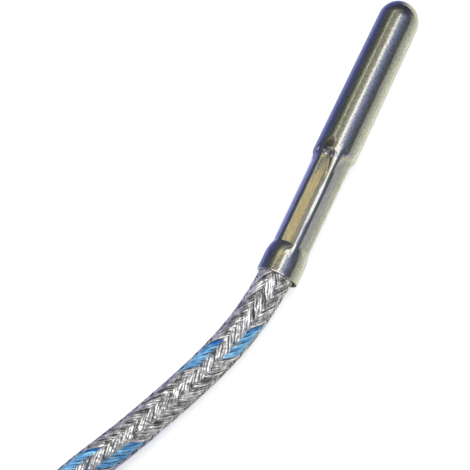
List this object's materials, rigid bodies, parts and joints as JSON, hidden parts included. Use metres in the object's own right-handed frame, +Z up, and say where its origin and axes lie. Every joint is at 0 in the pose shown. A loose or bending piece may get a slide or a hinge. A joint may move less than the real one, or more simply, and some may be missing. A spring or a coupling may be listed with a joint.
{
  "type": "thermocouple probe",
  "caption": "Crimped steel tube thermocouple with a domed tip, on a wire-overbraided lead that is coiled and ends in a miniature flat-blade plug.",
  "frame": {"origin": "on the floor under the middle of the steel tube, which lies along X", "axes": "+X along the tube to its closed tip, +Z up, +Y to the left of the tip"},
  "size_m": [0.139, 0.0672, 0.0227],
  "materials": {
    "steel_tube": "bright drawn stainless steel",
    "wire_braid": "woven bright steel wire with a blue tracer",
    "glass_fibre": "woven glass fibre",
    "cement": "cast ceramic cement",
    "positive_alloy": "bright nickel alloy",
    "negative_alloy": "bright copper alloy",
    "positive_sleeve": "braided glass sleeve",
    "negative_sleeve": "braided glass sleeve, blue",
    "plug_plastic": "moulded thermoset, fine satin",
    "boot_rubber": "matt moulded rubber",
    "screw_brass": "bright brass",
    "screw_steel": "bright steel",
    "strap": "woven hook-and-loop strap"
  },
  "bodies": {
    "root": {"sheath_tube": "steel_tube", "braid_in_sheath": "wire_braid", "core_in_sheath": "glass_fibre", "positive_sleeve_tip": "positive_sleeve", "negative_sleeve_tip": "negative_sleeve", "positive_wire_tip": "positive_alloy", "negative_wire_tip": "negative_alloy", "junction_bead": "positive_alloy", "tip_cement": "cement", "lead_run": "wire_braid", "lead_coil": "wire_braid", "lead_tail": "wire_braid", "coil_tie": "strap", "plug_base": "plug_plastic", "plug_cover": "plug_plastic", "positive_blade": "positive_alloy", "negative_blade": "negative_alloy", "positive_terminal_screw": "screw_brass", "negative_terminal_screw": "screw_brass", "cover_screw": "screw_steel", "cover_nut": "screw_steel", "plug_boot": "boot_rubber", "core_in_plug": "glass_fibre", "positive_sleeve_tail": "positive_sleeve", "negative_sleeve_tail": "negative_sleeve", "positive_wire_tail": "positive_alloy", "negative_wire_tail": "negative_alloy"}
  },
  "joints": []
}
